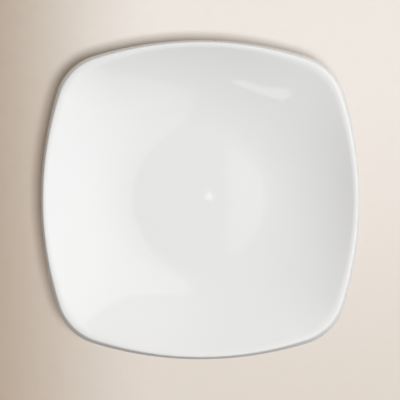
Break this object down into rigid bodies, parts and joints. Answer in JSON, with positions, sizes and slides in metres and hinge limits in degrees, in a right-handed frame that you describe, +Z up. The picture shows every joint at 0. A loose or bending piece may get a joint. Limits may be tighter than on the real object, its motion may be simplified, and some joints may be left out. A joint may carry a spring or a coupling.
{
  "type": "salad plate",
  "caption": "Soft-square coupe salad plate in white glazed porcelain: round shallow well, wall rising to a rounded lip, bare ground foot ring underneath.",
  "frame": {"origin": "on the table, under the middle of the plate, in the plane of the foot ring's flat band", "axes": "+Z up, out of the well, along the plate's axis of symmetry; +X and +Y through the middles of two neighbouring sides"},
  "size_m": [0.21, 0.21, 0.023],
  "materials": {
    "bisque_porcelain": "matte",
    "white_glaze": "gloss",
    "recess_glaze": "gloss"
  },
  "bodies": {
    "root": {"porcelain_body": "bisque_porcelain", "glaze_coat": "white_glaze", "foot_recess_glaze": "recess_glaze"}
  },
  "joints": []
}
